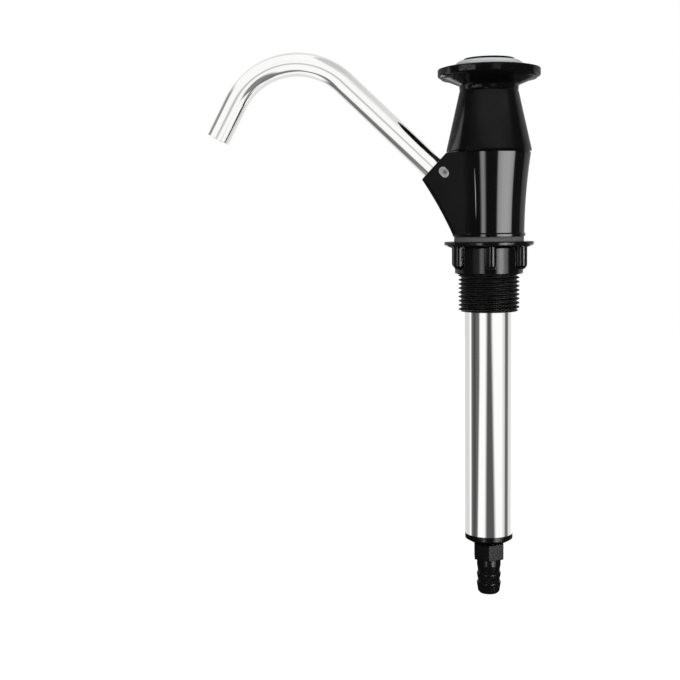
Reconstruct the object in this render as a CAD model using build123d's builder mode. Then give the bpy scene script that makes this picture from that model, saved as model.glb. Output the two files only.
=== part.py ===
from build123d import *
import os
from math import ceil, cos, radians, sin, sqrt

os.makedirs("parts", exist_ok=True)

# A hand pump tap: lifting the knob draws water up the barrel and out of the arched spout.
# Millimetres. Z is the pump's axis, z = 0 is the deck face under the gasket, the spout points along -X.

# Fits, each measured on the radius
snug_gap = 0.05
running_gap = 0.08
free_gap = 0.30
thread_gap = 0.25
valve_gap = 0.20

# Deck gasket
gasket_thickness = 3.0
gasket_width = 2.375
gasket_edge = 0.4

# Housing
housing_height = 45.2
housing_top_radius = 22.6
housing_waist_radius = 20.25
housing_base_radius = 19.2
housing_edge = 0.4
waist_share = 0.54
bead_radius = 19.75
bead_height = 1.2
bead_slope = 0.7
neck_height = 8.8
neck_radius = 17.0
neck_ring_place = 4.4

# Guide cap, the cone that the rod runs through
cap_height = 32.8
cap_base_radius = 23.2
cap_top_radius = 15.9
cap_lip_radius = 21.9
cap_lip_height = 0.6
cap_wall = 2.6
cap_edge = 0.5
bush_housing_depth = 13.0

# Knob
knob_rest_gap = 0.4
hub_radius = 15.9
hub_height = 2.6
rim_radius = 27.65
rim_height = 3.5
rim_edge = 1.2
hub_edge = 0.4
hub_blend = 1.2
underside_rise = 4.8
dome_radii = (27.3, 23.0, 18.6)
dome_heights = (0.5, 1.55, 2.0)
bead_ring_radius = 25.4
bead_ring_section = 0.45
ring_radius = 17.9
ring_shoulder_radius = 16.6
ring_depth = 2.0
ring_lip = 1.3
ring_shoulder = 2.3
ring_crown = 0.4
disc_radius = 13.8
disc_stand = 1.2
disc_edge = 0.7
disc_crown = 0.8
disc_wall = 1.6
knob_pocket_radius = 11.4
knob_web = 2.6

# Rod and its screw
rod_radius = 7.0
stud_radius = 3.0
screw_radius = 2.4
screw_length = 18.0
screw_head_radius = 4.6
screw_head_height = 3.2
screw_edge = 0.4
screw_socket_width = 4.0
screw_socket_depth = 2.0

# Seals and guides in the top of the pump
bush_radius = 10.0
bush_length = 8.5
bush_flange_radius = 11.6
bush_flange = 1.5
wiper_length = 2.2
wiper_lip = 0.6
seal_radius = 11.5
seal_height = 6.0
seal_lip = 2.4
seal_channel = 1.6
seal_floor = 2.0
retainer_radius = 14.0
retainer_length = 9.0
retainer_slot = 2.2

# Ring seals and their grooves
cord_radius = 0.72
ring_groove_depth = 1.5
ring_groove_width = 1.7

# Threaded tail, a one inch pipe thread
thread_radius = 33.25 / 2
thread_depth = 1.48
thread_pitch = 2.309
thread_crest = 0.44
thread_foot = 1.75
nut_thread_foot = 1.65
tail_length = 38.1
tail_wall = 1.895
tail_spigot = 10.0
tail_edge = 1.2
thread_runout = 1.5

# Back nut
nut_height = 17.6
nut_wall = 1.945
flange_width = 5.73
flange_rim = 1.7
flange_edge = 0.3
flange_rim_edge = 0.6
flange_fall = 1.6
flange_root_width = 2.03
rib_count = 6
rib_width = 5.8
rib_height = 4.0
rib_length = 11.6
rib_phase = -87.6
nut_relief = 2.4
nut_edge = 0.9

# Barrel
barrel_wall = 1.2
barrel_top = -6.0
barrel_length = 156.4
washer_thickness = 1.5

# Hose tail
foot_ring_height = 2.9
foot_ring_fall = 3.0
foot_ring_edge = 0.6
hex_flats = 16.0
hex_edge = 0.45
hex_corner = 0.6
hex_height = 8.9
hex_phase = -29.0
barb_length = 19.8
barb_radius = 6.75
barb_neck_radius = 6.65
barb_waist_radius = 6.1
barb_tip_radius = 6.0
barb_bore_radius = 4.5
barb_land = 0.5
barb_rise = 1.5
barb_neck_length = 3.6
barb_nose = 1.0
barb_ridges = (8.4, 13.6)
foot_spigot_length = 12.0
foot_groove = 6.0

# Foot valve
ball_radius = 6.0
pocket_radius = 8.2
pocket_depth = 11.6
cage_radius = 9.6
cage_height = 1.6
cage_bar = 2.2
cage_bars = 3
cage_hub_radius = 2.6

# Piston
piston_gap = 0.4
piston_height = 12.0
piston_rest = 7.0
seal_groove_depth = 2.1
seal_groove_height = 4.4
seal_band_height = 4.0
port_count = 6
port_radius = 1.5
port_circle = 7.4
valve_disc_margin = 1.4
valve_disc_thickness = 1.2
valve_lift = 1.6
spacer_radius = 4.6
piston_nut_flats = 10.0
piston_nut_height = 5.0
stud_tip = 0.8

# Spout
spout_radius = 6.45
spout_wall = 1.0
spout_angle = 44.0
spout_run = 67.3
spout_bend_radius = 38.3
spout_turn = 105.9
spout_tip = 22.2
spout_edge = 0.25

# Spout socket, a wedge at the spout's angle with flat cheeks that run into the body, and a web below it
cheek_angle = 22.0
cheek_inset = 0.45
cheek_root = 0.75
socket_below = 8.7
socket_length = 42.0
socket_axis_rise = 8.1
socket_depth = 16.5
channel_radius = 5.4
channel_end = 10.0
web_bow = 0.7
nose_radius = 3.0
socket_edge = 0.5
socket_ring_places = (27.0, 30.0)

# Lock pin in the side of the socket
pin_place = 6.2
pin_rise = 2.2
pin_radius = 1.6
pin_head_length = 6.3
pin_head_width = 4.6
pin_head_height = 1.3
pin_stand = 0.35
pin_dimple = 0.35
pin_rim = 2.2
pin_end = 3.9

# Radii that follow from the thread, from the outside in
nut_radius = thread_radius + nut_wall
flange_radius = nut_radius + flange_width
flange_root_radius = nut_radius + flange_root_width
gasket_radius = thread_radius + gasket_width
thread_root = thread_radius - thread_depth
barrel_radius = thread_root - tail_wall - snug_gap
chamber_radius = barrel_radius - barrel_wall
piston_radius = chamber_radius - piston_gap
seal_groove_floor = piston_radius - seal_groove_depth
valve_disc_radius = piston_radius - valve_disc_margin

# Heights along the axis
housing_base = gasket_thickness
housing_top = housing_base + housing_height
neck_top = housing_top + neck_height
cap_top = housing_top + cap_height
knob_base = cap_top + knob_rest_gap
rim_base = knob_base + hub_height + underside_rise
rim_top = rim_base + rim_height
dome_top = rim_top + dome_heights[2]
recess_floor = dome_top - ring_depth
ring_outer_top = dome_top + ring_shoulder
ring_inner_top = ring_outer_top + ring_crown
disc_top = ring_inner_top + disc_stand
rod_top = recess_floor - screw_head_height - free_gap - knob_web
barrel_bottom = barrel_top - barrel_length
foot_spigot_top = barrel_bottom + foot_spigot_length
hex_top = barrel_bottom - foot_ring_height - foot_ring_fall
hex_bottom = hex_top - hex_height
barb_bottom = hex_bottom - barb_length
tail_top = housing_base + tail_spigot
seal_base = neck_top - retainer_length - seal_height
bush_base = cap_top - bush_housing_depth
stud_bottom = foot_spigot_top + piston_rest - piston_nut_height
neck_ring_height = housing_top + neck_ring_place
rib_foot = -flange_rim - flange_fall - rib_length
socket_groove_radius = spout_radius + 2 * (cord_radius + snug_gap)
seat_top = foot_spigot_top - pocket_depth
seat_bottom = seat_top - pocket_radius + barb_bore_radius
ball_centre = seat_bottom - barb_bore_radius + (ball_radius + free_gap) * sqrt(2)
piston_base = foot_spigot_top + piston_rest
piston_top = piston_base + piston_height
shoulder = piston_top + valve_disc_thickness + valve_lift + 2 * valve_gap

# The spout's line: out of the housing at the spout angle, round one bend, and down to the tip
outward = Vector(-cos(radians(spout_angle)), 0, sin(radians(spout_angle)))
upward = Vector(sin(radians(spout_angle)), 0, cos(radians(spout_angle)))
socket_root = Vector(0, 0, housing_base + socket_axis_rise)
face_centre = socket_root + outward * socket_length
face_plane = Plane(origin=face_centre, x_dir=(0, 1, 0), z_dir=outward)
spout_start = face_centre - outward * (socket_depth - snug_gap)
pin_middle = face_centre - outward * pin_place + upward * pin_rise

# The block's outline: its face square to the spout, its top under the cap, its web down to the foot bead
block_top = housing_top - housing_edge
face_low = face_centre - upward * socket_below
face_high = face_centre + upward * ((block_top - face_centre.Z) / upward.Z)
web_foot = Vector(-bead_radius, 0, housing_base + bead_height)
web_line = (web_foot - face_low).normalized()
web_middle = (face_low + web_foot) / 2 + Vector(-web_line.Z, 0, web_line.X) * web_bow

# The cheeks: planes near the body's skin, turned back by the cheek angle, that lean out as the body widens
cheek_low = housing_base_radius - cheek_inset
cheek_high = housing_top_radius - cheek_inset
cheek_lean = (cheek_high - cheek_low) / (block_top - web_foot.Z)
cheek_line = Vector(-sin(radians(cheek_angle)), -cos(radians(cheek_angle)), 0)
cheek_normal = (cheek_line - Vector(0, 0, cheek_lean)).normalized()
cheek_reach = cheek_low + cheek_lean * (pin_middle.Z - web_foot.Z)
pin_spread = (cheek_reach - cheek_line.X * pin_middle.X) / cheek_line.Y
pin_seen = Vector(pin_middle.X, pin_spread, pin_middle.Z)
pin_reach = pin_spread / cheek_normal.Y
pin_line = (outward - cheek_normal * outward.dot(cheek_normal)).normalized()
pin_plane = Plane(origin=pin_seen - cheek_normal * pin_reach, x_dir=pin_line, z_dir=cheek_normal)
pin_seat = pin_reach + pin_stand - pin_head_height


def disc(height, radius, depth):
    """Add a round disc on the pump's axis, upwards from a height, to the piece being made."""
    with Locations((0, 0, height)):
        Cylinder(radius, depth, align=(Align.CENTER, Align.CENTER, Align.MIN))


def bore(height, radius, depth):
    """Cut a round hole on the pump's axis, upwards from a height, in the piece being made."""
    with Locations((0, 0, height)):
        Cylinder(radius, depth, align=(Align.CENTER, Align.CENTER, Align.MIN), mode=Mode.SUBTRACT)


def soften(piece, height, radius):
    """Round the widest circular edge of the piece being made, at a height."""
    circles = piece.edges().filter_by(GeomType.CIRCLE)
    near = circles.filter_by_position(Axis.Z, height - snug_gap, height + snug_gap)
    fillet(near.sort_by(SortBy.RADIUS)[-1], radius)


def cheek_corners(reach):
    """The plan of the socket's wedge, its cheeks at a distance from the pump's axis."""
    far = face_low.X - nose_radius
    spread = (reach - cheek_line.X * far) / cheek_line.Y
    half = [(far, spread), (reach * cheek_line.X, reach * cheek_line.Y), (0, -reach * cheek_root)]
    return half + [(x, -y) for x, y in reversed(half)]


def flat_point(place):
    """A point of the XZ plane as a sketch point."""
    return (place.X, place.Z)


def socket_plane(place):
    """The plane across the socket's axis, at a distance out from the pump's axis."""
    return Plane(origin=socket_root + outward * place, x_dir=(0, 1, 0), z_dir=outward)


# Knob: a hub, a wide rim to lift by, and a low dome with a recess for the ring and the disc
with BuildPart() as knob:
    with BuildSketch(Plane.XZ):
        with BuildLine():
            Polyline(
                (0, knob_base),
                (hub_radius, knob_base),
                (hub_radius, knob_base + hub_height),
                (rim_radius, rim_base),
                (rim_radius, rim_top),
                (dome_radii[0], rim_top + dome_heights[0]),
            )
            Spline(
                (dome_radii[0], rim_top + dome_heights[0]),
                (dome_radii[1], rim_top + dome_heights[1]),
                (dome_radii[2], dome_top),
            )
            Polyline(
                (dome_radii[2], dome_top),
                (0, dome_top),
                (0, knob_base),
            )
        make_face()
    revolve(axis=Axis.Z)
    soften(knob, rim_base, rim_edge)
    soften(knob, knob_base + hub_height, hub_blend)
    soften(knob, knob_base, hub_edge)
    underside_slope = underside_rise / (rim_radius - hub_radius)
    bead_ring_height = knob_base + hub_height + underside_slope * (bead_ring_radius - hub_radius)
    with BuildSketch(Plane.XZ):
        with Locations((bead_ring_radius, bead_ring_height)):
            Circle(bead_ring_section)
    revolve(axis=Axis.Z)
    bore(recess_floor, ring_radius + snug_gap, ring_depth)
    bore(rod_top + knob_web, knob_pocket_radius, recess_floor - rod_top - knob_web)
    bore(knob_base, rod_radius + snug_gap, rod_top - knob_base)
    bore(rod_top, screw_radius + snug_gap, knob_web)
knob.part.label = "knob"
export_step(knob.part, "parts/knob.step")

# Trim ring round the disc on top of the knob
with BuildPart() as knob_ring:
    with BuildSketch(Plane.XZ):
        with BuildLine():
            Polyline(
                (disc_radius + snug_gap, ring_inner_top),
                (disc_radius + snug_gap, recess_floor),
                (ring_radius, recess_floor),
                (ring_radius, dome_top + ring_lip),
            )
            ThreePointArc(
                (ring_radius, dome_top + ring_lip),
                (ring_shoulder_radius, ring_outer_top),
                (disc_radius + snug_gap, ring_inner_top),
            )
        make_face()
    revolve(axis=Axis.Z)
knob_ring.part.label = "knob_ring"
export_step(knob_ring.part, "parts/knob_ring.step")

# Cap disc, which snaps into the ring and hides the screw
crown_sphere = (disc_radius**2 + disc_crown**2) / (2 * disc_crown)


def crown_height(radius):
    """How far the crowned top stands above its edge, at a radius."""
    return sqrt(crown_sphere**2 - radius**2) - crown_sphere + disc_crown


with BuildPart() as knob_cap:
    with BuildSketch(Plane.XZ):
        with BuildLine():
            Polyline(
                (0, disc_top + disc_crown - disc_wall),
                (disc_radius - disc_wall, disc_top - disc_wall),
                (disc_radius - disc_wall, recess_floor),
                (disc_radius, recess_floor),
                (disc_radius, disc_top),
            )
            ThreePointArc(
                (disc_radius, disc_top),
                (disc_radius / 2, disc_top + crown_height(disc_radius / 2)),
                (0, disc_top + disc_crown),
            )
            Line((0, disc_top + disc_crown), (0, disc_top + disc_crown - disc_wall))
        make_face()
    revolve(axis=Axis.Z)
    soften(knob_cap, disc_top, disc_edge)
knob_cap.part.label = "knob_cap"
export_step(knob_cap.part, "parts/knob_cap.step")

# Screw that holds the knob on the rod
with BuildPart() as knob_screw:
    disc(rod_top + knob_web - screw_length, screw_radius, screw_length)
    disc(rod_top + knob_web, screw_head_radius, screw_head_height)
    chamfer(knob_screw.edges().sort_by(Axis.Z)[-1], screw_edge)
    with BuildSketch(Plane.XY.offset(rod_top + knob_web + screw_head_height)):
        RegularPolygon(screw_socket_width / 2, 6, major_radius=False)
    extrude(amount=-screw_socket_depth, mode=Mode.SUBTRACT)
knob_screw.part.label = "knob_screw"
export_step(knob_screw.part, "parts/knob_screw.step")

# Piston rod, turned down to a stud at its foot and tapped at its top
with BuildPart() as piston_rod:
    disc(shoulder, rod_radius, rod_top - shoulder)
    chamfer(piston_rod.edges().group_by(Axis.Z)[-1], cap_edge)
    disc(stud_bottom - stud_tip, stud_radius, shoulder - stud_bottom + stud_tip)
    bore(rod_top + knob_web - screw_length - free_gap, screw_radius + snug_gap, screw_length)
piston_rod.part.label = "piston_rod"
export_step(piston_rod.part, "parts/piston_rod.step")

# Guide cap: a hollow cone that covers the neck and holds the bush and the wiper
cap_slope = (cap_base_radius - cap_top_radius) / (cap_height - cap_lip_height)
cavity_base = neck_top + free_gap
cavity_top = bush_base - bush_flange
with BuildPart() as guide_cap:
    with BuildSketch(Plane.XZ):
        with BuildLine():
            Polyline(
                (0, housing_top),
                (cap_lip_radius, housing_top),
                (cap_lip_radius, housing_top + cap_lip_height),
                (cap_base_radius, housing_top + cap_lip_height),
                (cap_top_radius, cap_top),
                (0, cap_top),
                close=True,
            )
        make_face()
    revolve(axis=Axis.Z)
    soften(guide_cap, housing_top + cap_lip_height, cap_edge)
    soften(guide_cap, cap_top, cap_edge)
    bore(housing_top, neck_radius + snug_gap, cavity_base - housing_top)
    with BuildSketch(Plane.XZ):
        with BuildLine():
            Polyline(
                (0, cavity_base),
                (cap_base_radius - cap_wall - cap_slope * (cavity_base - housing_top), cavity_base),
                (cap_base_radius - cap_wall - cap_slope * (cavity_top - housing_top), cavity_top),
                (0, cavity_top),
                close=True,
            )
        make_face()
    revolve(axis=Axis.Z, mode=Mode.SUBTRACT)
    bore(cavity_top, bush_flange_radius + snug_gap, bush_flange)
    bore(bush_base, bush_radius + snug_gap, cap_top - bush_base)
guide_cap.part.label = "guide_cap"
export_step(guide_cap.part, "parts/guide_cap.step")

# Flanged bush that the rod slides in
with BuildPart() as rod_guide_bush:
    disc(bush_base - bush_flange, bush_flange_radius, bush_flange)
    disc(bush_base, bush_radius, bush_length)
    bore(bush_base - bush_flange, rod_radius + running_gap, bush_flange + bush_length)
rod_guide_bush.part.label = "rod_guide_bush"
export_step(rod_guide_bush.part, "parts/rod_guide_bush.step")

# Wiper ring above the bush, with a lip that cleans the rod
with BuildPart() as rod_wiper:
    with BuildSketch(Plane.XZ):
        with BuildLine():
            Polyline(
                (rod_radius + running_gap + wiper_lip, bush_base + bush_length),
                (bush_radius, bush_base + bush_length),
                (bush_radius, bush_base + bush_length + wiper_length),
                (rod_radius + running_gap, bush_base + bush_length + wiper_length),
                (rod_radius + running_gap, bush_base + bush_length + wiper_length - wiper_lip),
                close=True,
            )
        make_face()
    revolve(axis=Axis.Z)
rod_wiper.part.label = "rod_wiper"
export_step(rod_wiper.part, "parts/rod_wiper.step")

# Housing: the spout socket with the web below it, a waisted body and its neck
with BuildPart() as housing:
    with BuildSketch(Plane.XZ):
        with BuildLine():
            ThreePointArc(flat_point(face_low), flat_point(web_middle), flat_point(web_foot))
            Polyline(
                flat_point(web_foot),
                (0, web_foot.Z),
                (0, block_top),
                flat_point(face_high),
                flat_point(face_low),
            )
        make_face()
    extrude(amount=housing_top_radius, both=True)
    with BuildSketch(Plane.XY.offset(web_foot.Z)):
        Polygon(*cheek_corners(cheek_low), align=None)
    with BuildSketch(Plane.XY.offset(block_top)):
        Polygon(*cheek_corners(cheek_high), align=None)
    loft(mode=Mode.INTERSECT)
    web_face = housing.faces().filter_by(GeomType.CYLINDER)[0]
    fillet(web_face.edges().filter_by(Axis.Y, reverse=True), nose_radius)
    with BuildSketch(Plane.XZ):
        with BuildLine():
            Polyline(
                (0, neck_top),
                (0, housing_base),
                (bead_radius, housing_base),
                (bead_radius, housing_base + bead_height),
                (housing_base_radius, housing_base + bead_height + bead_slope),
            )
            ThreePointArc(
                (housing_base_radius, housing_base + bead_height + bead_slope),
                (housing_waist_radius, housing_base + housing_height * waist_share),
                (housing_top_radius, housing_top - housing_edge),
            )
            Polyline(
                (housing_top_radius, housing_top - housing_edge),
                (housing_top_radius - housing_edge, housing_top),
                (neck_radius, housing_top),
                (neck_radius, neck_top),
                (0, neck_top),
            )
        make_face()
    revolve(axis=Axis.Z)
    # The rim of the socket's face is rounded
    spout_axis = Axis(face_centre, outward)
    fillet(housing.faces().filter_by(spout_axis).sort_by(spout_axis)[-1].edges(), socket_edge)
    # Inside, from the foot up: the tail's seat, the water chamber, the seal and its retainer
    bore(housing_base, thread_root + snug_gap, tail_spigot)
    bore(tail_top, chamber_radius, seal_base - seal_floor - tail_top)
    bore(seal_base - seal_floor, rod_radius + free_gap, seal_floor)
    bore(seal_base, seal_radius + snug_gap, seal_height)
    bore(seal_base + seal_height, retainer_radius + snug_gap, retainer_length)
    # The neck's ring groove
    with BuildSketch(Plane.XZ):
        with Locations((neck_radius, neck_ring_height)):
            Rectangle(2 * ring_groove_depth, ring_groove_width)
    revolve(axis=Axis.Z, mode=Mode.SUBTRACT)
    # The spout's seat, its two ring grooves, and the channel from the chamber
    with BuildSketch(face_plane):
        Circle(spout_radius + snug_gap)
    extrude(amount=-socket_depth, mode=Mode.SUBTRACT)
    with BuildSketch(face_plane):
        Circle(channel_radius)
    extrude(amount=-(socket_length - channel_end), mode=Mode.SUBTRACT)
    for place in socket_ring_places:
        with BuildSketch(socket_plane(place)):
            Circle(socket_groove_radius)
        extrude(amount=ring_groove_width, mode=Mode.SUBTRACT)
    # The lock pin's hole and the pocket for its head
    with BuildSketch(pin_plane):
        Circle(pin_radius + snug_gap)
    extrude(amount=pin_reach, mode=Mode.SUBTRACT)
    with BuildSketch(pin_plane.offset(pin_seat)):
        SlotOverall(pin_head_length + 2 * snug_gap, pin_head_width + 2 * snug_gap)
    extrude(amount=pin_head_height, mode=Mode.SUBTRACT)
housing.part.label = "housing"
export_step(housing.part, "parts/housing.step")

# Ring that seals the guide cap on the neck
with BuildPart(Plane.XY.offset(neck_ring_height)) as cap_o_ring:
    Torus(neck_radius - ring_groove_depth + cord_radius + snug_gap, cord_radius)
cap_o_ring.part.label = "cap_o_ring"
export_step(cap_o_ring.part, "parts/cap_o_ring.step")

# Cup seal that wipes the rod, with a channel that lets its lips spread
with BuildPart() as rod_seal:
    disc(seal_base, seal_radius, seal_height)
    bore(seal_base, rod_radius + running_gap, seal_height)
    seal_middle = (seal_radius + rod_radius) / 2
    with BuildSketch(Plane.XY.offset(seal_base)):
        Circle(seal_middle + seal_channel / 2)
        Circle(seal_middle - seal_channel / 2, mode=Mode.SUBTRACT)
    extrude(amount=seal_lip, mode=Mode.SUBTRACT)
rod_seal.part.label = "rod_seal"
export_step(rod_seal.part, "parts/rod_seal.step")

# Gland ring that holds the rod seal down, with two slots for a key
with BuildPart() as seal_retainer:
    disc(seal_base + seal_height, retainer_radius, retainer_length)
    bore(seal_base + seal_height, rod_radius + free_gap, retainer_length)
    with BuildSketch(Plane.XY.offset(neck_top)):
        Rectangle(2 * retainer_radius, retainer_slot)
    extrude(amount=-retainer_slot, mode=Mode.SUBTRACT)
seal_retainer.part.label = "seal_retainer"
export_step(seal_retainer.part, "parts/seal_retainer.step")

# Spout: one tube, a straight run out of the socket, one bend and a straight tip
bend_start = face_centre + outward * spout_run
bend_centre = bend_start - upward * spout_bend_radius
tip_angle = radians(spout_turn - spout_angle)
tip_line = Vector(-cos(tip_angle), 0, -sin(tip_angle))
tip_normal = Vector(-sin(tip_angle), 0, cos(tip_angle))
bend_end = bend_centre + tip_normal * spout_bend_radius
bend_middle = bend_centre + (upward + tip_normal).normalized() * spout_bend_radius
spout_mouth = bend_end + tip_line * spout_tip
with BuildPart() as spout_tube:
    with BuildLine(Plane.XZ) as spout_line:
        Line(flat_point(spout_start), flat_point(bend_start))
        ThreePointArc(flat_point(bend_start), flat_point(bend_middle), flat_point(bend_end))
        Line(flat_point(bend_end), flat_point(spout_mouth))
    with BuildSketch(Plane(origin=spout_start, x_dir=(0, 1, 0), z_dir=outward)):
        Circle(spout_radius)
        Circle(spout_radius - spout_wall, mode=Mode.SUBTRACT)
    sweep(path=spout_line.line)
    chamfer(spout_tube.edges().filter_by(GeomType.CIRCLE).sort_by(Axis.X)[:2], spout_edge)
    with BuildSketch(pin_plane):
        Circle(pin_radius + snug_gap)
    extrude(amount=spout_radius + pin_radius, mode=Mode.SUBTRACT)
spout_tube.part.label = "spout_tube"
export_step(spout_tube.part, "parts/spout_tube.step")

# Two rings that seal the spout in its socket
with BuildPart() as spout_o_rings:
    for place in socket_ring_places:
        with Locations(socket_plane(place + ring_groove_width / 2)):
            Torus(spout_radius + cord_radius + snug_gap, cord_radius)
spout_o_rings.part.label = "spout_o_rings"
export_step(spout_o_rings.part, "parts/spout_o_rings.step")

# Lock pin: a long oval head let into the socket's side, and a shank into the spout
with BuildPart() as spout_pin:
    with BuildSketch(pin_plane.offset(pin_seat)):
        SlotOverall(pin_head_length, pin_head_width)
    extrude(amount=pin_head_height)
    fillet(spout_pin.faces().sort_by(Axis(pin_plane.origin, pin_plane.z_dir))[-1].edges(), pin_dimple)
    with BuildSketch(pin_plane.offset(pin_end)):
        Circle(pin_radius)
    extrude(amount=pin_seat - pin_end)
    with BuildSketch(pin_plane.offset(pin_seat + pin_head_height)):
        SlotOverall(pin_head_length - pin_rim, pin_head_width - pin_rim)
    extrude(amount=-pin_dimple, mode=Mode.SUBTRACT)
spout_pin.part.label = "spout_pin"
export_step(spout_pin.part, "parts/spout_pin.step")

# Deck gasket, a flat ring under the housing
with BuildPart() as deck_gasket:
    disc(0, gasket_radius, gasket_thickness)
    soften(deck_gasket, 0, gasket_edge)
    soften(deck_gasket, gasket_thickness, gasket_edge)
    bore(0, thread_radius + free_gap, gasket_thickness)
deck_gasket.part.label = "deck_gasket"
export_step(deck_gasket.part, "parts/deck_gasket.step")

# Threaded tail: a tube with a right-hand pipe thread, and a spigot up inside the housing
thread_start = -tail_length - thread_pitch
thread_height = tail_length + thread_pitch
with BuildPart() as threaded_tail:
    disc(-tail_length, thread_root, tail_length + tail_top)
    disc(thread_start, thread_root, thread_pitch)
    thread_line = Helix(thread_pitch, thread_height, thread_root, center=(0, 0, thread_start))
    with BuildSketch(Plane(origin=thread_line @ 0, x_dir=(1, 0, 0), z_dir=thread_line % 0)):
        with BuildLine():
            Polyline(
                (-snug_gap, -thread_foot / 2),
                (thread_radius - thread_root, -thread_crest / 2),
                (thread_radius - thread_root, thread_crest / 2),
                (-snug_gap, thread_foot / 2),
                close=True,
            )
        make_face()
    sweep(path=thread_line, is_frenet=True)
    with BuildSketch(Plane.XZ):
        with BuildLine():
            Polyline(
                (0, -tail_length),
                (thread_radius - tail_edge, -tail_length),
                (thread_radius + free_gap, -tail_length + tail_edge),
                (thread_radius + free_gap, -thread_runout),
                (thread_root, -thread_runout + tail_edge),
                (thread_root, tail_top),
                (0, tail_top),
                close=True,
            )
        make_face()
    revolve(axis=Axis.Z, mode=Mode.INTERSECT)
    bore(-tail_length, barrel_radius + snug_gap, barrel_top + washer_thickness + tail_length)
    bore(barrel_top + washer_thickness, chamber_radius, tail_top - barrel_top - washer_thickness)
threaded_tail.part.label = "threaded_tail"
export_step(threaded_tail.part, "parts/threaded_tail.step")

# Back nut: a flange, a threaded barrel and rounded ribs to grip
nut_bore = thread_radius + thread_gap
turns_below = ceil((tail_length - nut_height + nut_thread_foot) / thread_pitch)
nut_thread_start = thread_start + (turns_below + 0.5) * thread_pitch
nut_thread_height = -nut_relief - nut_thread_foot / 2 - nut_thread_start
with BuildPart() as back_nut:
    with BuildSketch(Plane.XZ):
        with BuildLine():
            Polyline(
                (0, 0),
                (flange_radius, 0),
                (flange_radius, -flange_rim),
                (flange_root_radius, -flange_rim - flange_fall),
                (nut_radius, -flange_rim - flange_fall),
                (nut_radius, -nut_height),
                (0, -nut_height),
                close=True,
            )
        make_face()
    revolve(axis=Axis.Z)
    soften(back_nut, 0, flange_edge)
    soften(back_nut, -flange_rim, flange_rim_edge)
    soften(back_nut, -nut_height, nut_edge)
    rib_top = -flange_rim - flange_fall / 2
    rib_radius = rib_width / 2
    rib_place = nut_radius + rib_height - rib_radius
    rib_low = rib_foot + rib_radius
    for turn in range(rib_count):
        rib_angle = rib_phase + turn * 360 / rib_count
        rib_line = Vector(cos(radians(rib_angle)), sin(radians(rib_angle)), 0)
        with BuildSketch(Plane(origin=(0, 0, 0), x_dir=(-rib_line.Y, rib_line.X, 0), z_dir=rib_line)):
            with BuildLine():
                Polyline(
                    (-rib_radius, rib_low),
                    (-rib_radius, rib_top),
                    (rib_radius, rib_top),
                    (rib_radius, rib_low),
                )
                ThreePointArc((rib_radius, rib_low), (0, rib_foot), (-rib_radius, rib_low))
            make_face()
        extrude(amount=rib_place)
        with Locations(rib_line * rib_place + Vector(0, 0, rib_low)):
            Cylinder(rib_radius, rib_top - rib_low, align=(Align.CENTER, Align.CENTER, Align.MIN))
            Sphere(rib_radius)
    bore(-nut_height, nut_bore, nut_height)
    nut_line = Helix(thread_pitch, nut_thread_height, nut_bore, center=(0, 0, nut_thread_start))
    with BuildSketch(Plane(origin=nut_line @ 0, x_dir=(1, 0, 0), z_dir=nut_line % 0)):
        with BuildLine():
            Polyline(
                (snug_gap, -nut_thread_foot / 2),
                (thread_root + thread_gap - nut_bore, -thread_crest / 2),
                (thread_root + thread_gap - nut_bore, thread_crest / 2),
                (snug_gap, nut_thread_foot / 2),
                close=True,
            )
        make_face()
    sweep(path=nut_line, is_frenet=True)
back_nut.part.label = "back_nut"
export_step(back_nut.part, "parts/back_nut.step")

# Barrel, the long bright tube that the piston works in
with BuildPart() as barrel:
    disc(barrel_bottom, barrel_radius, barrel_length)
    bore(barrel_bottom, chamber_radius, barrel_length)
barrel.part.label = "barrel"
export_step(barrel.part, "parts/barrel.step")

# Flat washer that seals the barrel's top edge in the tail
with BuildPart() as barrel_washer:
    disc(barrel_top, barrel_radius, washer_thickness)
    bore(barrel_top, chamber_radius, washer_thickness)
barrel_washer.part.label = "barrel_washer"
export_step(barrel_washer.part, "parts/barrel_washer.step")

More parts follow.
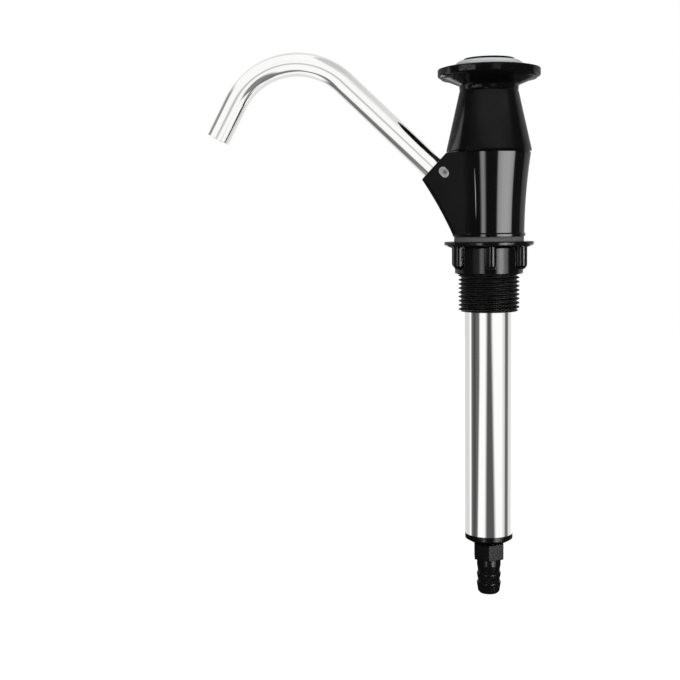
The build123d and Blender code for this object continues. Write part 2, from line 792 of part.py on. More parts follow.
# Hose tail: a spigot in the barrel's foot, a ring, a hexagon and a barb for the hose
barb_outline = [
    (hex_flats / 2, hex_top),
    (barb_neck_radius, hex_top),
    (barb_neck_radius, hex_bottom - barb_neck_length),
]
for ridge in barb_ridges:
    barb_outline.append((barb_waist_radius, hex_bottom - ridge + barb_rise))
    barb_outline.append((barb_radius, hex_bottom - ridge))
    barb_outline.append((barb_radius, hex_bottom - ridge - barb_land))
barb_outline.append((barb_tip_radius, barb_bottom + barb_nose))
barb_outline.append((barb_tip_radius - barb_nose, barb_bottom))
spigot_radius = chamber_radius - snug_gap
with BuildPart() as hose_tail:
    with BuildSketch(Plane.XZ):
        with BuildLine():
            Polyline(
                (0, barb_bottom),
                (0, foot_spigot_top),
                (spigot_radius, foot_spigot_top),
                (spigot_radius, barrel_bottom),
                (barrel_radius, barrel_bottom),
                (barrel_radius, barrel_bottom - foot_ring_height),
                *barb_outline,
                (0, barb_bottom),
            )
        make_face()
    revolve(axis=Axis.Z)
    with BuildSketch(Plane.XY.offset(hex_bottom)):
        RegularPolygon(hex_flats / 2, 6, major_radius=False, rotation=hex_phase)
    extrude(amount=hex_height)
    chamfer(hose_tail.edges().filter_by(Plane.XY).filter_by(GeomType.LINE).group_by(Axis.Z)[0], hex_edge)
    fillet(hose_tail.edges().filter_by(Axis.Z).filter_by(GeomType.LINE), hex_corner)
    soften(hose_tail, barrel_bottom - foot_ring_height, foot_ring_edge)
    # Inside: the cage's seat, the ball's pocket, its cone and the way in from the hose
    bore(barb_bottom, barb_bore_radius, seat_bottom - barb_bottom)
    with BuildSketch(Plane.XZ):
        with BuildLine():
            Polyline(
                (0, seat_bottom),
                (barb_bore_radius, seat_bottom),
                (pocket_radius, seat_top),
                (pocket_radius, foot_spigot_top),
                (0, foot_spigot_top),
                close=True,
            )
        make_face()
    revolve(axis=Axis.Z, mode=Mode.SUBTRACT)
    bore(foot_spigot_top - cage_height, cage_radius + snug_gap, cage_height)
    with BuildSketch(Plane.XZ):
        with Locations((spigot_radius, barrel_bottom + foot_groove)):
            Rectangle(2 * ring_groove_depth, ring_groove_width)
    revolve(axis=Axis.Z, mode=Mode.SUBTRACT)
hose_tail.part.label = "hose_tail"
export_step(hose_tail.part, "parts/hose_tail.step")

# Ring that seals the hose tail in the barrel
with BuildPart(Plane.XY.offset(barrel_bottom + foot_groove)) as foot_o_ring:
    Torus(spigot_radius - ring_groove_depth + cord_radius + snug_gap, cord_radius)
foot_o_ring.part.label = "foot_o_ring"
export_step(foot_o_ring.part, "parts/foot_o_ring.step")

# Foot valve ball, which lifts off its cone when the pump draws
with BuildPart(Plane.XY.offset(ball_centre)) as foot_valve_ball:
    Sphere(ball_radius)
foot_valve_ball.part.label = "foot_valve_ball"
export_step(foot_valve_ball.part, "parts/foot_valve_ball.step")

# Cage that keeps the ball in its pocket: a rim, a hub and bars between them
with BuildPart() as foot_valve_cage:
    with BuildSketch(Plane.XY.offset(foot_spigot_top - cage_height)):
        Circle(cage_radius)
        Circle(pocket_radius - snug_gap, mode=Mode.SUBTRACT)
        Circle(cage_hub_radius)
        with PolarLocations(pocket_radius / 2, cage_bars):
            Rectangle(pocket_radius, cage_bar)
    extrude(amount=cage_height)
foot_valve_cage.part.label = "foot_valve_cage"
export_step(foot_valve_cage.part, "parts/foot_valve_cage.step")

# Piston body: a grooved disc with ports that the valve disc covers
with BuildPart() as piston_body:
    disc(piston_base, piston_radius, piston_height)
    bore(piston_base, stud_radius + snug_gap, piston_height)
    with BuildSketch(Plane.XZ):
        with Locations((piston_radius, piston_base + piston_height / 2)):
            Rectangle(2 * (piston_radius - seal_groove_floor), seal_groove_height)
    revolve(axis=Axis.Z, mode=Mode.SUBTRACT)
    with BuildSketch(Plane.XY.offset(piston_base)):
        with PolarLocations(port_circle, port_count):
            Circle(port_radius)
    extrude(amount=piston_height, mode=Mode.SUBTRACT)
piston_body.part.label = "piston_body"
export_step(piston_body.part, "parts/piston_body.step")

# Piston seal, a band in the groove that runs on the barrel's bore
with BuildPart() as piston_seal:
    band_base = piston_base + (piston_height - seal_band_height) / 2
    disc(band_base, chamber_radius - running_gap, seal_band_height)
    bore(piston_base, seal_groove_floor + snug_gap, piston_height)
piston_seal.part.label = "piston_seal"
export_step(piston_seal.part, "parts/piston_seal.step")

# Spacer that leaves the valve disc its lift under the rod's shoulder
with BuildPart() as valve_spacer:
    disc(piston_top, spacer_radius, shoulder - piston_top)
    bore(piston_top, stud_radius + snug_gap, shoulder - piston_top)
valve_spacer.part.label = "valve_spacer"
export_step(valve_spacer.part, "parts/valve_spacer.step")

# Valve disc, which lifts off the ports as the piston goes down
with BuildPart() as piston_valve_disc:
    disc(piston_top + valve_gap, valve_disc_radius, valve_disc_thickness)
    bore(piston_top + valve_gap, spacer_radius + free_gap, valve_disc_thickness)
piston_valve_disc.part.label = "piston_valve_disc"
export_step(piston_valve_disc.part, "parts/piston_valve_disc.step")

# Nut that holds the piston on the stud
with BuildPart() as piston_nut:
    with BuildSketch(Plane.XY.offset(stud_bottom)):
        RegularPolygon(piston_nut_flats / 2, 6, major_radius=False)
    extrude(amount=piston_nut_height)
    bore(stud_bottom, stud_radius + snug_gap, piston_nut_height)
piston_nut.part.label = "piston_nut"
export_step(piston_nut.part, "parts/piston_nut.step")
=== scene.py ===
# Looks of a deck-mounted hand pump tap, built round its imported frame. Lengths are in metres.

import math
from typing import NamedTuple

import bpy
from bpy.props import FloatProperty, FloatVectorProperty, PointerProperty
from mathutils import Matrix, Vector


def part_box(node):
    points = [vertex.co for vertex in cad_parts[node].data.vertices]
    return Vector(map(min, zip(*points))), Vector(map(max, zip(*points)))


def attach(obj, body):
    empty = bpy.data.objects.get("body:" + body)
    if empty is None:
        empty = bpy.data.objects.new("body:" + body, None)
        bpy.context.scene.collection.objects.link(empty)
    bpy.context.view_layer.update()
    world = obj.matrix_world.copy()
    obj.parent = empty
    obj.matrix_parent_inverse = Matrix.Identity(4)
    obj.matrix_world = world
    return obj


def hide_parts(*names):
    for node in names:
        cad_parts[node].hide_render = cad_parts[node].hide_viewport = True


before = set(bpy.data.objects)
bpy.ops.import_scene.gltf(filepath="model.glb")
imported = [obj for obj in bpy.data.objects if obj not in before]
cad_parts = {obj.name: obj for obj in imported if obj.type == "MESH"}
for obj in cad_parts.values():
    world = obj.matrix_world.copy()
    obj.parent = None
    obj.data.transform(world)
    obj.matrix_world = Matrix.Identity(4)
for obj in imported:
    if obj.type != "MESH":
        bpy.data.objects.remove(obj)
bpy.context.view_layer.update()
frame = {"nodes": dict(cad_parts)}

bl_info = {
    "name": "Hand Pump Tap",
    "version": (1, 0, 0),
    "blender": (4, 5, 0),
    "location": "3D View > Sidebar > Pump Tap",
    "description": "Dresses the packed frame of a hand pump tap and stands it in a soft studio",
    "category": "Object",
}

MICRON = 1e-6
MILLIMETRE = 1e-3
WHITE = (1.0, 1.0, 1.0, 1.0)

# Each point of the bent tube keeps its place on the straight tube in this attribute.
TUBE_PLACE = "place_on_tube"
TUBE_SIDES = 128
BEND_STEPS = 96
LIP_SEGMENTS = 4

# The hollow in the pin's head: how much nearer the spout it lies than the pin's middle, and its radii.
# Painted shade fills it, darkest inside the inner radius.
HOLLOW_SHIFT = 0.8 * MILLIMETRE
HOLLOW_EYE = 0.7 * MILLIMETRE
HOLLOW_EDGE = 1.7 * MILLIMETRE

# The socket's sides are duller than the round body, from here to the left.
SOCKET_SIDE = -9 * MILLIMETRE
DULLING = 0.3
DULL_BLEND = 5 * MILLIMETRE


class Nodes:
    """A node tree being made, and short ways to add to it."""

    def __init__(self, tree):
        self.tree = tree
        tree.nodes.clear()

    def add(self, kind, inputs=None, **settings):
        """One node, with its settings, and its inputs given as values or as other nodes' outputs."""
        made = self.tree.nodes.new(kind)
        for name, value in settings.items():
            setattr(made, name, value)
        self.feed(made, inputs or {})
        return made

    def feed(self, target, inputs):
        """Set a node's inputs, or link them."""
        for name, value in inputs.items():
            if isinstance(value, bpy.types.NodeSocket):
                self.tree.links.new(value, target.inputs[name])
            else:
                target.inputs[name].default_value = value

    def maths(self, operation, first, second):
        """Two values put together."""
        return self.add("ShaderNodeMath", {0: first, 1: second}, operation=operation).outputs["Value"]

    def grade(self, value, low, high, start=0.3, end=0.7):
        """Turn values between start and end into values between low and high."""
        return self.add(
            "ShaderNodeMapRange",
            {"Value": value, "From Min": start, "From Max": end, "To Min": low, "To Max": high},
        ).outputs["Result"]

    def seen(self, *rays):
        """1 for the camera's rays and for rays of the other kinds named, and 0 for the rest."""
        path = self.add("ShaderNodeLightPath").outputs
        share = path["Is Camera Ray"]
        for ray in rays:
            share = self.maths("MAXIMUM", share, path[ray])
        return share


class Finish(Nodes):
    """A material being made, with what the finishes share."""

    def __init__(self, name):
        self.material = bpy.data.materials.new(name)
        self.material.use_nodes = True
        super().__init__(self.material.node_tree)
        self.shader = self.add("ShaderNodeBsdfPrincipled")
        self.add("ShaderNodeOutputMaterial", {"Surface": self.shader.outputs["BSDF"]})
        self.place = self.add("ShaderNodeTexCoord").outputs["Object"]

    def noise(self, size, stretch=(1, 1, 1), detail=2.0):
        """Soft cloudy values from 0 to 1. A cloud is about size across, times stretch along each axis."""
        scale = Vector([1 / (size * along) for along in stretch])
        spot = self.add("ShaderNodeMapping", {"Vector": self.place, "Scale": scale})
        cloud = self.add(
            "ShaderNodeTexNoise",
            {"Vector": spot.outputs["Vector"], "Scale": 1.0, "Detail": detail, "Roughness": 0.55},
        )
        return cloud.outputs["Fac"]

    def blend(self, share, first, second):
        """A colour between two colours."""
        mixed = self.add("ShaderNodeMix", {"Factor": share}, data_type="RGBA", clamp_factor=True)
        ends = [socket for socket in mixed.inputs if socket.type == "RGBA"]
        for end, colour in zip(ends, (first, second)):
            end.default_value = (*colour, 1.0)
        return next(socket for socket in mixed.outputs if socket.type == "RGBA")

    def relief(self, height, depth, under=None):
        """A bump as deep as depth, on top of another one."""
        made = self.add("ShaderNodeBump", {"Height": height, "Distance": depth, "Strength": 1.0})
        if under is not None:
            self.tree.links.new(under, made.inputs["Normal"])
        return made.outputs["Normal"]

    def set(self, **inputs):
        """Set the shader's own inputs, their names written with underscores."""
        self.feed(self.shader, {name.replace("_", " "): value for name, value in inputs.items()})
        return self.material


def paler(colour, share):
    """The colour, moved a share of the way to white."""
    return tuple(part + (1 - part) * share for part in colour)


def darker(colour, share):
    """The colour, moved a share of the way to black."""
    return tuple(part - part * share for part in colour)


def moulded_plastic(name, colour, pale, roughness, peel, grain, coat=0.0, dull_left=None):
    """Moulded plastic: a flow-marked colour, a faint orange peel, and fine handling marks in the gloss.
    Left of dull_left the mould is less well polished."""
    finish = Finish(name)
    flow = finish.noise(14 * MILLIMETRE, stretch=(1, 1, 2.5), detail=3.0)
    rub = finish.noise(1.6 * MILLIMETRE, detail=4.0)
    skin = finish.noise(2.6 * MILLIMETRE)
    specks = finish.noise(0.16 * MILLIMETRE, detail=1.0)
    waves = finish.relief(skin, peel)
    marks = finish.grade(rub, roughness * 0.93, roughness * 1.1)
    if dull_left is not None:
        across = finish.add("ShaderNodeSeparateXYZ", {"Vector": finish.place}).outputs["X"]
        dull = finish.grade(across, DULLING, 0.0, dull_left - DULL_BLEND, dull_left)
        coat = finish.grade(across, 0.0, coat, dull_left - DULL_BLEND, dull_left)
        marks = finish.maths("ADD", marks, dull)
    return finish.set(
        Base_Color=finish.blend(finish.grade(flow, 0.0, 1.0), colour, pale),
        Roughness=marks,
        Normal=finish.relief(specks, grain, under=waves),
        IOR=1.55,
        Coat_Weight=coat,
        Coat_Roughness=0.03,
    )


def pin_plastic(name, colour, dark, middle):
    """Pale moulded plastic, with painted shade in the hollow at the middle of the pin's head, and a random
    tone.
    """
    finish = Finish(name)
    flat = finish.add(
        "ShaderNodeMapping", {"Vector": finish.place, "Scale": Vector((1, 0, 1)), "Location": -middle}
    )
    away = finish.add("ShaderNodeVectorMath", {"Vector": flat.outputs["Vector"]}, operation="LENGTH")
    flow = finish.noise(0.9 * MILLIMETRE, detail=3.0)
    skin = finish.noise(1.1 * MILLIMETRE)
    hollow = finish.grade(away.outputs["Value"], 0.0, 1.0, HOLLOW_EYE, HOLLOW_EDGE)
    # Painted shade: the colour darkens towards the middle of the hollow, times a random tone.
    hollow_shade_and_tone = finish.maths("MULTIPLY", hollow, finish.grade(flow, 0.7, 1.0))
    return finish.set(
        Base_Color=finish.blend(hollow_shade_and_tone, dark, colour),
        Roughness=finish.grade(flow, 0.26, 0.36),
        Normal=finish.relief(skin, 5 * MICRON, under=finish.relief(hollow, 0.12 * MILLIMETRE)),
        IOR=1.5,
    )


def drawn_steel(name, colour, dull, roughness, line_length, on_path=False):
    """Polished stainless tube: fine draw lines along it, faint ripples, and a little uneven polish.
    A line is line_length times as long as it is wide. On a bent tube the lines follow its path."""
    finish = Finish(name)
    if on_path:
        finish.place = finish.add("ShaderNodeAttribute", attribute_name=TUBE_PLACE).outputs["Vector"]
    lines = finish.noise(0.12 * MILLIMETRE, stretch=(1, 1, line_length), detail=3.0)
    ripple = finish.noise(11 * MILLIMETRE, stretch=(1, 1, 5), detail=1.0)
    polish = finish.noise(6 * MILLIMETRE, stretch=(1, 1, 3), detail=3.0)
    swell = finish.relief(ripple, 16 * MICRON)
    return finish.set(
        Base_Color=finish.blend(finish.grade(lines, 0.0, 1.0), colour, dull),
        Metallic=1.0,
        Roughness=finish.grade(polish, roughness * 0.8, roughness * 1.3),
        Normal=finish.relief(lines, 0.25 * MICRON, under=swell),
    )


def turned_metal(name, colour, roughness):
    """Turned or cold-formed metal: fine rings from the tool, and a slightly uneven tone."""
    finish = Finish(name)
    rings = finish.noise(0.1 * MILLIMETRE, stretch=(40, 40, 1), detail=2.0)
    tone = finish.noise(3 * MILLIMETRE, detail=3.0)
    return finish.set(
        Base_Color=finish.blend(finish.grade(tone, 0.0, 1.0), darker(colour, 0.2), colour),
        Metallic=1.0,
        Roughness=finish.grade(rings, roughness * 0.7, roughness * 1.3),
        Normal=finish.relief(rings, 0.8 * MICRON),
    )


def rubber(name, colour, pale, roughness):
    """Moulded rubber: matt, with a fine grain and a dusty bloom."""
    finish = Finish(name)
    bloom = finish.noise(4 * MILLIMETRE, detail=4.0)
    grain = finish.noise(0.25 * MILLIMETRE, detail=2.0)
    return finish.set(
        Base_Color=finish.blend(finish.grade(bloom, 0.0, 1.0), colour, pale),
        Roughness=finish.grade(grain, roughness * 0.9, roughness * 1.15),
        Normal=finish.relief(grain, 9 * MICRON),
        IOR=1.5,
    )


def slick_plastic(name, colour, pale, through):
    """Unfilled engineering plastic: waxy, with light going a little way in, and faint cutting rings."""
    finish = Finish(name)
    rings = finish.noise(0.2 * MILLIMETRE, stretch=(30, 30, 1), detail=2.0)
    tone = finish.noise(5 * MILLIMETRE, detail=2.0)
    return finish.set(
        Base_Color=finish.blend(finish.grade(tone, 0.0, 1.0), colour, pale),
        Roughness=finish.grade(rings, 0.3, 0.42),
        Normal=finish.relief(rings, 1.5 * MICRON),
        Subsurface_Weight=through,
        Subsurface_Radius=Vector((1.0, 0.9, 0.8)),
        Subsurface_Scale=0.8 * MILLIMETRE,
        IOR=1.48,
    )


class TapColours(bpy.types.PropertyGroup):
    """Colours and finishes of the tap."""

    plastic: FloatVectorProperty(
        name="Black plastic", description="Colour of the housing, disc, nut, thread and hose tail",
        subtype="COLOR", default=(0.0015, 0.0015, 0.0017), min=0.0, max=1.0,
    )
    satin: FloatVectorProperty(
        name="Satin plastic", description="Colour of the cone, the knob and the seal's retainer",
        subtype="COLOR", default=(0.002, 0.002, 0.0022), min=0.0, max=1.0,
    )
    steel: FloatVectorProperty(
        name="Steel", description="Colour of the bright tubes and the rod", subtype="COLOR",
        default=(0.93, 0.93, 0.925), min=0.0, max=1.0,
    )
    trim: FloatVectorProperty(
        name="Trim ring", description="Colour of the ring round the disc", subtype="COLOR",
        default=(0.72, 0.73, 0.74), min=0.0, max=1.0,
    )
    pin: FloatVectorProperty(
        name="Pin", description="Colour of the pin in the side of the spout's socket", subtype="COLOR",
        default=(0.5, 0.5, 0.51), min=0.0, max=1.0,
    )
    gasket: FloatVectorProperty(
        name="Gasket", description="Colour of the deck gasket", subtype="COLOR",
        default=(0.145, 0.145, 0.15), min=0.0, max=1.0,
    )
    satin_roughness: FloatProperty(
        name="Satin roughness", description="How dull the cone and the knob are", subtype="FACTOR",
        default=0.15, min=0.0, max=1.0,
    )
    steel_roughness: FloatProperty(
        name="Steel roughness", description="How dull the barrel is", subtype="FACTOR",
        default=0.055, min=0.0, max=1.0,
    )
    spout_roughness: FloatProperty(
        name="Spout roughness", description="How dull the bent tube is", subtype="FACTOR",
        default=0.08, min=0.0, max=1.0,
    )


class SpoutSizes(bpy.types.PropertyGroup):
    """The bent tube that the water runs out of."""

    foot: FloatVectorProperty(
        name="Foot", description="Lower end of the centre line, in its socket", subtype="XYZ",
        unit="LENGTH", default=(-0.01833, 0.0, 0.02884),
    )
    corner: FloatVectorProperty(
        name="Corner", description="Where the two straight runs would meet", subtype="XYZ",
        unit="LENGTH", default=(-0.1151, 0.0, 0.1223),
    )
    mouth: FloatVectorProperty(
        name="Mouth", description="Centre of the open end", subtype="XYZ",
        unit="LENGTH", default=(-0.14947, 0.0, 0.05793),
    )
    bend: FloatProperty(
        name="Bend", description="Radius of the bend, on the centre line", subtype="DISTANCE",
        unit="LENGTH", default=0.0383, min=0.01,
    )
    radius: FloatProperty(
        name="Radius", description="Outside radius of the tube", subtype="DISTANCE",
        unit="LENGTH", default=0.00645, min=0.001,
    )
    wall: FloatProperty(
        name="Wall", description="Thickness of the tube", subtype="DISTANCE",
        unit="LENGTH", default=0.001, min=0.0001,
    )
    lip: FloatProperty(
        name="Lip", description="Rounding of the tube's ends", subtype="DISTANCE",
        unit="LENGTH", default=0.0004, min=0.0,
    )


class StudioSettings(bpy.types.PropertyGroup):
    """Light, floor and camera."""

    floor_drop: FloatProperty(
        name="Floor", description="Height of the floor against the deck's face", subtype="DISTANCE",
        unit="LENGTH", default=-1.25,
    )
    tent_radius: FloatProperty(
        name="Tent radius", description="Distance of the cloths and cards that show in shiny surfaces",
        subtype="DISTANCE", unit="LENGTH", default=1.2, min=0.5,
    )
    daylight: FloatProperty(
        name="Fill", description="Plain light from all sides", default=0.5, min=0.0,
    )
    lamp_power: FloatProperty(
        name="Lamp power", description="Power of the right lamp, which the other two follow",
        subtype="POWER", unit="POWER", default=9.0, min=0.0,
    )


FINISH_OF_NODE = {
    "housing": "housing_black",
    "back_nut": "gloss_black",
    "knob_cap": "gloss_black",
    "knob": "satin_black",
    "guide_cap": "satin_black",
    "knob_ring": "pale_trim",
    "threaded_tail": "thread_black",
    "hose_tail": "tail_black",
    "seal_retainer": "inner_black",
    "spout_pin": "grey_plastic",
    "spout_tube": "polished_steel",
    "barrel": "polished_steel",
    "piston_rod": "rod_steel",
    "knob_screw": "fastener_steel",
    "valve_spacer": "fastener_steel",
    "piston_nut": "fastener_steel",
    "deck_gasket": "gasket_rubber",
    "cap_o_ring": "seal_rubber",
    "foot_o_ring": "seal_rubber",
    "spout_o_rings": "seal_rubber",
    "barrel_washer": "seal_rubber",
    "rod_seal": "seal_rubber",
    "rod_wiper": "seal_rubber",
    "piston_seal": "seal_rubber",
    "piston_valve_disc": "seal_rubber",
    "piston_body": "bearing_plastic",
    "rod_guide_bush": "bearing_plastic",
    "foot_valve_cage": "bearing_plastic",
    "foot_valve_ball": "valve_plastic",
}


class PUMPTAP_OT_finishes(bpy.types.Operator):
    """Make the finishes and give each piece of the frame its own"""

    bl_idname = "pumptap.finishes"
    bl_label = "Finishes"

    def execute(self, context):
        colours = context.scene.pumptap_colours
        made = {**self.plastics(colours), **self.metals(colours), **self.soft_and_inner(colours)}
        for name, node in frame["nodes"].items():
            for slot in node.material_slots:
                slot.material = made[FINISH_OF_NODE[name]]
        return {"FINISHED"}

    def plastics(self, colours):
        """The moulded pieces that show, and the pin."""
        black, satin = tuple(colours.plastic), tuple(colours.satin)
        trim, pin = tuple(colours.trim), tuple(colours.pin)
        gloss = dict(
            colour=black, pale=paler(black, 0.003), roughness=0.09, coat=0.6,
            peel=2 * MICRON, grain=0.1 * MICRON,
        )
        recipes = {
            "gloss_black": gloss,
            "housing_black": dict(gloss, dull_left=SOCKET_SIDE),
            "satin_black": dict(
                colour=satin, pale=paler(satin, 0.003), roughness=colours.satin_roughness,
                peel=2.5 * MICRON, grain=0.6 * MICRON,
            ),
            "thread_black": dict(
                colour=black, pale=paler(black, 0.003), roughness=0.3, peel=2 * MICRON, grain=0.8 * MICRON,
            ),
            "tail_black": dict(
                colour=black, pale=paler(black, 0.004), roughness=0.2, peel=3 * MICRON, grain=1.2 * MICRON,
            ),
            "inner_black": dict(
                colour=satin, pale=paler(satin, 0.01), roughness=0.45, peel=4 * MICRON, grain=4 * MICRON,
            ),
            "pale_trim": dict(
                colour=trim, pale=paler(trim, 0.1), roughness=0.2, coat=0.3,
                peel=2 * MICRON, grain=0.5 * MICRON,
            ),
        }
        made = {name: moulded_plastic(name, **recipe) for name, recipe in recipes.items()}
        # The pin's colour, darkened, is the painted shade in the hollow at the middle of its head.
        low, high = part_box("spout_pin")
        hollow = Vector(((low[0] + high[0]) / 2 - HOLLOW_SHIFT, 0, (low[2] + high[2]) / 2))
        made["grey_plastic"] = pin_plastic("grey_plastic", pin, darker(pin, 0.65), hollow)
        return made

    def metals(self, colours):
        """The bright tubes, the rod and the fasteners."""
        steel = tuple(colours.steel)
        return {
            "polished_steel": drawn_steel(
                "polished_steel", steel, darker(steel, 0.07), colours.steel_roughness, line_length=300
            ),
            "rod_steel": drawn_steel("rod_steel", steel, darker(steel, 0.12), 0.1, line_length=200),
            "fastener_steel": turned_metal("fastener_steel", (0.62, 0.61, 0.6), 0.3),
        }

    def soft_and_inner(self, colours):
        """The rubber pieces, and the bare plastic ones inside."""
        grey = tuple(colours.gasket)
        return {
            "gasket_rubber": rubber("gasket_rubber", grey, paler(grey, 0.03), 0.6),
            "seal_rubber": rubber("seal_rubber", (0.012, 0.012, 0.012), (0.03, 0.03, 0.03), 0.5),
            "bearing_plastic": slick_plastic(
                "bearing_plastic", (0.78, 0.77, 0.73), (0.86, 0.85, 0.82), through=0.25
            ),
            "valve_plastic": slick_plastic(
                "valve_plastic", (0.6, 0.1, 0.06), (0.7, 0.16, 0.1), through=0.15
            ),
        }


def spout_tree():
    """Sweeps a round tube along a cornered line, its corner bent to a radius. Each point keeps its place on
    the straight tube, so that a finish can follow the bend."""
    tree = bpy.data.node_groups.new("bent_tube", "GeometryNodeTree")
    for name, kind in (
        ("Geometry", "Geometry"), ("Bend", "Float"), ("Radius", "Float"), ("Bend steps", "Int"),
        ("Sides", "Int"), ("Material", "Material"),
    ):
        tree.interface.new_socket(name, in_out="INPUT", socket_type="NodeSocket" + kind)
    tree.interface.new_socket("Geometry", in_out="OUTPUT", socket_type="NodeSocketGeometry")
    nodes = Nodes(tree)
    given = nodes.add("NodeGroupInput").outputs
    fillet = nodes.add(
        "GeometryNodeFilletCurve",
        {"Curve": given["Geometry"], "Radius": given["Bend"], "Count": given["Bend steps"]}, mode="POLY",
    )
    ring = nodes.add(
        "GeometryNodeCurvePrimitiveCircle", {"Resolution": given["Sides"], "Radius": given["Radius"]}
    )
    along, around = nodes.add("GeometryNodeCaptureAttribute"), nodes.add("GeometryNodeCaptureAttribute")
    along.capture_items.new("FLOAT", "Along")
    around.capture_items.new("VECTOR", "Around")
    length = nodes.add("GeometryNodeSplineParameter").outputs["Length"]
    position = nodes.add("GeometryNodeInputPosition").outputs["Position"]
    nodes.feed(along, {"Geometry": fillet.outputs["Curve"], "Along": length})
    nodes.feed(around, {"Geometry": ring.outputs["Curve"], "Around": position})
    sweep = nodes.add(
        "GeometryNodeCurveToMesh",
        {"Curve": along.outputs["Geometry"], "Profile Curve": around.outputs["Geometry"]},
    )
    flat = nodes.add("ShaderNodeSeparateXYZ", {"Vector": around.outputs["Around"]}).outputs
    place = nodes.add(
        "ShaderNodeCombineXYZ", {"X": flat["X"], "Y": flat["Y"], "Z": along.outputs["Along"]}
    )
    keep = nodes.add(
        "GeometryNodeStoreNamedAttribute",
        {"Geometry": sweep.outputs["Mesh"], "Name": TUBE_PLACE, "Value": place.outputs["Vector"]},
        data_type="FLOAT_VECTOR",
    )
    real = nodes.add("GeometryNodeRealizeInstances", {"Geometry": keep.outputs["Geometry"]})
    dress = nodes.add(
        "GeometryNodeSetMaterial", {"Geometry": real.outputs["Geometry"], "Material": given["Material"]}
    )
    nodes.add("NodeGroupOutput", {"Geometry": dress.outputs["Geometry"]})
    return tree


def grown(holder, tree, settings):
    """The mesh that a node tree makes of a holder, with the tree's inputs set by name."""
    maker = holder.modifiers.new(tree.name, "NODES")
    maker.node_group = tree
    for item in tree.interface.items_tree:
        if item.in_out == "INPUT" and item.name in settings:
            maker[item.identifier] = settings[item.name]
    bpy.context.view_layer.update()
    seen = holder.evaluated_get(bpy.context.evaluated_depsgraph_get())
    mesh = bpy.data.meshes.new_from_object(seen)
    holder.modifiers.remove(maker)
    bpy.data.objects.remove(holder)
    return mesh


class PUMPTAP_OT_spout(bpy.types.Operator):
    """Bend the spout's bright tube along its line"""

    bl_idname = "pumptap.spout"
    bl_label = "Spout"

    def execute(self, context):
        sizes, colours = context.scene.pumptap_spout, context.scene.pumptap_colours
        steel = tuple(colours.steel)
        finish = drawn_steel(
            "spout_steel", steel, darker(steel, 0.1), colours.spout_roughness, line_length=300, on_path=True
        )
        line = bpy.data.curves.new("spout_line", "CURVE")
        line.dimensions = "3D"
        spline = line.splines.new("POLY")
        spline.points.add(2)
        for point, place in zip(spline.points, (sizes.foot, sizes.corner, sizes.mouth)):
            point.co = (*place, 1)
        holder = bpy.data.objects.new("spout_line", line)
        context.scene.collection.objects.link(holder)
        mesh = grown(holder, spout_tree(), {
            "Bend": sizes.bend, "Radius": sizes.radius, "Bend steps": BEND_STEPS, "Sides": TUBE_SIDES,
            "Material": finish,
        })
        mesh.name = "spout"
        mesh.shade_smooth()
        spout = bpy.data.objects.new("spout", mesh)
        context.scene.collection.objects.link(spout)
        wall = spout.modifiers.new("wall", "SOLIDIFY")
        wall.thickness, wall.offset, wall.use_even_offset = sizes.wall, -1.0, True
        lip = spout.modifiers.new("lip", "BEVEL")
        lip.width, lip.segments, lip.limit_method = sizes.lip, LIP_SEGMENTS, "ANGLE"
        lip.harden_normals = True
        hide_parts("spout_tube")
        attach(spout, "pump_body")
        return {"FINISHED"}


def smooth(share):
    """0 below 0, 1 above 1, and a soft step between."""
    share = min(1.0, max(0.0, share))
    return share * share * (3 - 2 * share)


class Card(NamedTuple):
    """A card or cloth of the tent: its edges in degrees round and above the tap, how bright it is, how soft
    its sides and ends are, and how far its left and right edge lean for each degree below lean_from."""

    left: float
    right: float
    low: float
    high: float
    glow: float
    side: float = 3.0
    end: float = 3.0
    lean_left: float = 0.0
    lean_right: float = 0.0
    lean_from: float = -7.0

    def cover(self, azimuth, elevation):
        """How much of this direction the card covers."""
        down = max(0.0, self.lean_from - elevation)
        left = self.left + self.lean_left * down
        right = self.right + self.lean_right * down
        middle = (left + right) / 2
        azimuth = middle + (azimuth - middle + 180) % 360 - 180
        sides = smooth((azimuth - left) / self.side + 0.5) * smooth((right - azimuth) / self.side + 0.5)
        foot = smooth((elevation - self.low) / self.end + 0.5)
        head = smooth((self.high - elevation) / self.end + 0.5)
        return sides * foot * head


class Cord(NamedTuple):
    """A dark cord round the tent, through points given as degrees round and above the tap. It is whole to
    half its width from its line, and gone at one and a half."""

    points: tuple
    width: float
    glow: float

    def cover(self, azimuth, elevation):
        """How much of this direction the cord covers."""
        for (left, here), (right, there) in zip(self.points, self.points[1:]):
            if left <= azimuth <= right:
                height = here + (there - here) * (azimuth - left) / (right - left)
                return smooth(1.5 - abs(elevation - height) / self.width)
        return 0.0


class View(NamedTuple):
    """What one kind of surface sees: how bright the tent's cloth is, the cards and cords before it, of which
    later ones lie in front, and the nodes with that surface. No nodes stands for all that no view names."""

    cloth: float
    cards: dict
    nodes: tuple = ()

    def glow(self, azimuth, elevation):
        """How bright the tent is in this direction, where 1 is white."""
        glow = self.cloth
        for card in self.cards.values():
            glow += (card.glow - glow) * card.cover(azimuth, elevation)
        return glow


def rear_cards(strip_low, left_high=12, left_glow=0.25, right_glow=0.28):
    """Pale cards behind the tap, and a bright strip under each."""
    return {
        "rear_left_pale": Card(-180, -97, -12, left_high, left_glow, side=8),
        "rear_right_pale": Card(116, 180, -12, 24, right_glow, side=8),
        "rear_left_strip": Card(-168, -140, strip_low, -12, 1.5, side=6),
        "rear_right_strip": Card(132, 156, strip_low, -12, 1.5, side=6),
    }


